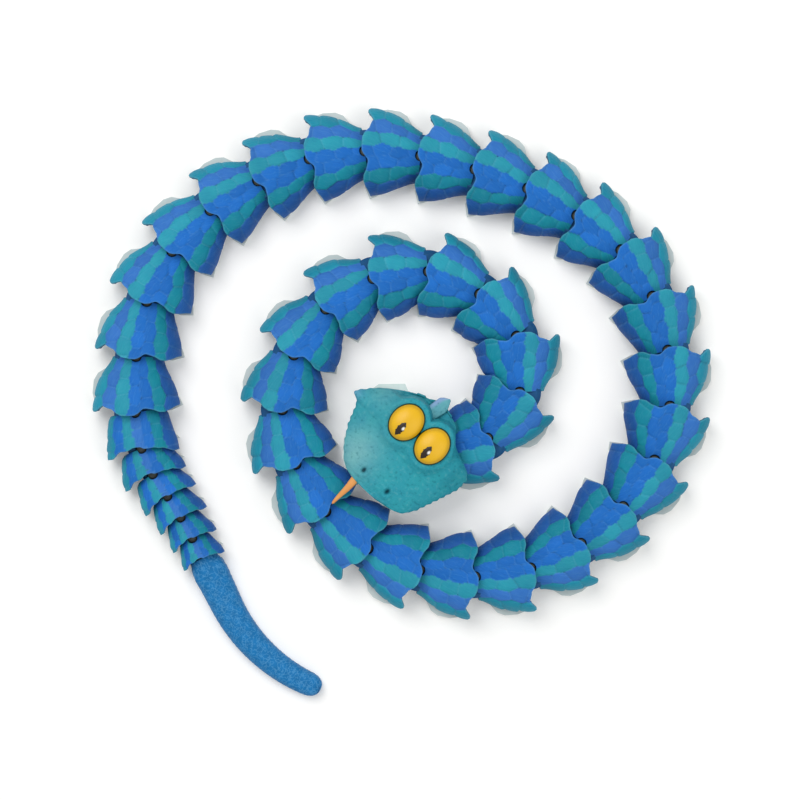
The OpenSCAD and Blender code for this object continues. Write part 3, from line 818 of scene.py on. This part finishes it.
def dress(node, material):
    """Gives a CAD solid one material."""
    materials = frame["nodes"][node].data.materials
    materials.clear()
    materials.append(material)


SKIN = painted_print("scale_skin", ridges=0.35)
HEAD_SKIN = painted_print("head_skin", foam=0.45)
LINK_BODY = link_body_print()
JAW = plain_print("pale_jaw", JAW_PALE, JAW_SHADE)
PIN = plain_print("pin_grey", PIN_GREY, PIN_SHADE)
TONGUE = plain_print("tongue_orange", TONGUE_ORANGE, TONGUE_SHADE, grain=900)
EYE = painted_print("eye_gloss", roughness=(0.3, 0.42), specular=0.35)
TAIL_SKIN = painted_print("tail_grain", worms=0.3)

for name in LINKS_AND_TAIL:
    dress(name, LINK_BODY)
for name in ("lower_jaw", "head_shell"):
    dress(name, JAW)

for number, name in enumerate(LINKS, 1):
    link_skin(name, number)
    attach(pin_cap("pin_cap_%02d" % number, LINKS_AND_TAIL[number], number), name)
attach(pin_cap("pin_cap_00", "link_01", 0), "head")
tail_skin()
head_skin()
neck_flap()
eye("eye_left", -1)
eye("eye_right", 1)
pupil("pupil_left", -1)
pupil("pupil_right", 1)
tongue()

# Camera straight above, at the photograph's framing: 0.4 mm to a pixel at the level of the links' tops
PICTURE_MIDDLE = (-1.0, 0.7)
CAMERA_HEIGHT = 1000.0
PICTURE_WIDTH = 320.0
SENSOR_WIDTH = 36
FLOOR_HALF = 3000
camera_data = bpy.data.cameras.new("camera")
camera_data.sensor_width = SENSOR_WIDTH
camera_data.lens = SENSOR_WIDTH * (CAMERA_HEIGHT - REAR_HEIGHT) / PICTURE_WIDTH
camera_data.clip_end = 10
camera = bpy.data.objects.new("camera", camera_data)
camera.location = (PICTURE_MIDDLE[0] * MM, PICTURE_MIDDLE[1] * MM, CAMERA_HEIGHT * MM)
bpy.context.scene.collection.objects.link(camera)
bpy.context.scene.camera = camera


def lamp(name, at, size, energy):
    """A square soft lamp aimed at the middle of the table, its place and size in metres."""
    data = bpy.data.lights.new(name, "AREA")
    data.shape = "SQUARE"
    data.size = size
    data.energy = energy
    lamp_object = bpy.data.objects.new(name, data)
    lamp_object.location = at
    direction = -np.array(at)
    lamp_object.rotation_euler = (math.acos(-direction[2] / np.linalg.norm(direction)), 0,
                                  math.atan2(direction[1], direction[0]) - math.pi / 2)
    bpy.context.scene.collection.objects.link(lamp_object)


lamp("key", (-0.35, 0.45, 0.9), 0.7, 6.2)
lamp("fill", (0.5, -0.3, 0.8), 0.9, 2.7)

floor = new_object("floor", np.array([[-1, -1, 0], [1, -1, 0], [1, 1, 0], [-1, 1, 0]]) * FLOOR_HALF, [[0, 1, 2, 3]])
floor_material, _, shader = new_material("pale_table", 0.1)
shader.inputs["Base Color"].default_value = (0.93, 0.925, 0.91, 1)
shader.inputs["Emission Color"].default_value = (1, 0.99, 0.975, 1)
shader.inputs["Emission Strength"].default_value = 0.09
shader.inputs["Roughness"].default_value = 0.8
floor.data.materials.append(floor_material)

world = bpy.data.worlds.new("studio")
bpy.context.scene.world = world
world.use_nodes = True
world.node_tree.nodes["Background"].inputs["Color"].default_value = (1, 1, 1, 1)
world.node_tree.nodes["Background"].inputs["Strength"].default_value = 0.52

bpy.context.scene.view_settings.view_transform = "Standard"
